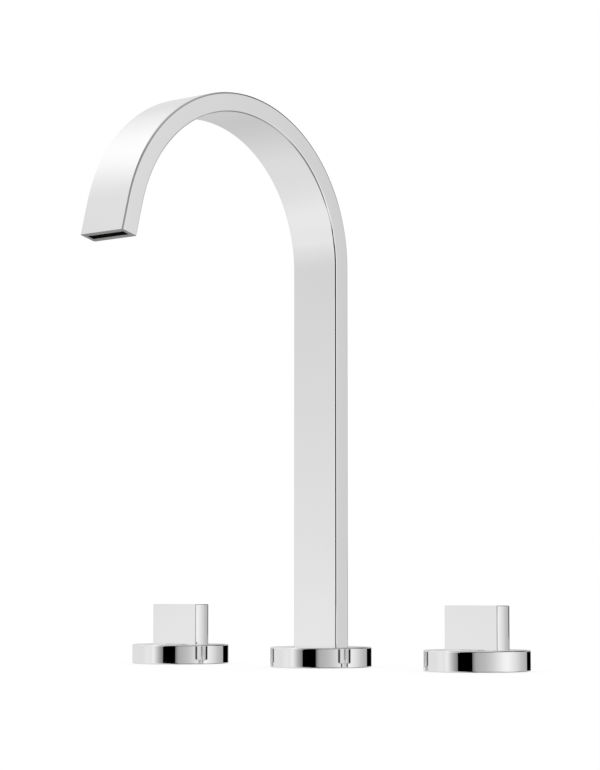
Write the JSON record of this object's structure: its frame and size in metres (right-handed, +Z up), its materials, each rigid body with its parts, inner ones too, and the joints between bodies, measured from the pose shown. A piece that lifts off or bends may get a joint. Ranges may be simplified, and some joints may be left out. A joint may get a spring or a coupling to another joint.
{
  "type": "widespread bathroom faucet",
  "caption": "Deck-mounted widespread basin faucet: tall arched spout of flat chrome band on a round flange, between upright blade handles that each work a ceramic-disc valve.",
  "frame": {"origin": "on the deck's upper surface, in the middle of the spout's column", "axes": "+Z up along the column, +X towards the cold handle on the user's right, -Y the way the spout reaches over the basin"},
  "size_m": [0.2552, 0.182, 0.3705],
  "materials": {
    "chrome": "polished chrome plate on brass",
    "brass": "machined brass",
    "copper": "drawn copper tube",
    "steel": "stamped stainless steel",
    "rubber": "black moulded rubber",
    "ceramic": "lapped alumina ceramic",
    "black_plastic": "black moulded acetal"
  },
  "bodies": {
    "faucet": {"spout_tube": "chrome", "spout_flange": "chrome", "stream_straightener": "black_plastic", "spout_base": "brass", "spout_lock_screw": "steel", "spout_upper_o_ring": "rubber", "spout_lower_o_ring": "rubber", "spout_flange_gasket": "rubber", "spout_rubber_washer": "rubber", "spout_steel_washer": "steel", "spout_deck_nut": "brass", "tee_union_nut": "brass", "tee_seal": "rubber", "tee_manifold": "brass", "hot_flange": "chrome", "hot_flange_gasket": "rubber", "hot_cartridge_nut": "brass", "hot_cartridge_housing": "brass", "hot_fixed_disc": "ceramic", "hot_seat_seal": "rubber", "hot_valve_body": "brass", "hot_rubber_washer": "rubber", "hot_steel_washer": "steel", "hot_deck_nut": "brass", "hot_valve_port_olive": "brass", "hot_valve_port_nut": "brass", "hot_tee_port_olive": "brass", "hot_tee_port_nut": "brass", "hot_crossover_tube": "copper", "cold_flange": "chrome", "cold_flange_gasket": "rubber", "cold_cartridge_nut": "brass", "cold_cartridge_housing": "brass", "cold_fixed_disc": "ceramic", "cold_seat_seal": "rubber", "cold_valve_body": "brass", "cold_rubber_washer": "rubber", "cold_steel_washer": "steel", "cold_deck_nut": "brass", "cold_valve_port_olive": "brass", "cold_valve_port_nut": "brass", "cold_tee_port_olive": "brass", "cold_tee_port_nut": "brass", "cold_crossover_tube": "copper"},
    "hot_handle": {"hot_handle_blade": "chrome", "hot_handle_adapter": "brass", "hot_handle_screw": "steel", "hot_spindle": "brass", "hot_spindle_o_ring": "rubber", "hot_spindle_clip": "steel", "hot_moving_disc": "ceramic"},
    "cold_handle": {"cold_handle_blade": "chrome", "cold_handle_adapter": "brass", "cold_handle_screw": "steel", "cold_spindle": "brass", "cold_spindle_o_ring": "rubber", "cold_spindle_clip": "steel", "cold_moving_disc": "ceramic"}
  },
  "joints": [
    {"name": "hot_handle_turn", "type": "hinge", "parent": "faucet", "child": "hot_handle", "pos_m": [-0.1016, 0, 0.0104], "axis": [0, 0, 1], "range_deg": [0, 90]},
    {"name": "cold_handle_turn", "type": "hinge", "parent": "faucet", "child": "cold_handle", "pos_m": [0.1016, 0, 0.0104], "axis": [0, 0, -1], "range_deg": [0, 90]}
  ]
}
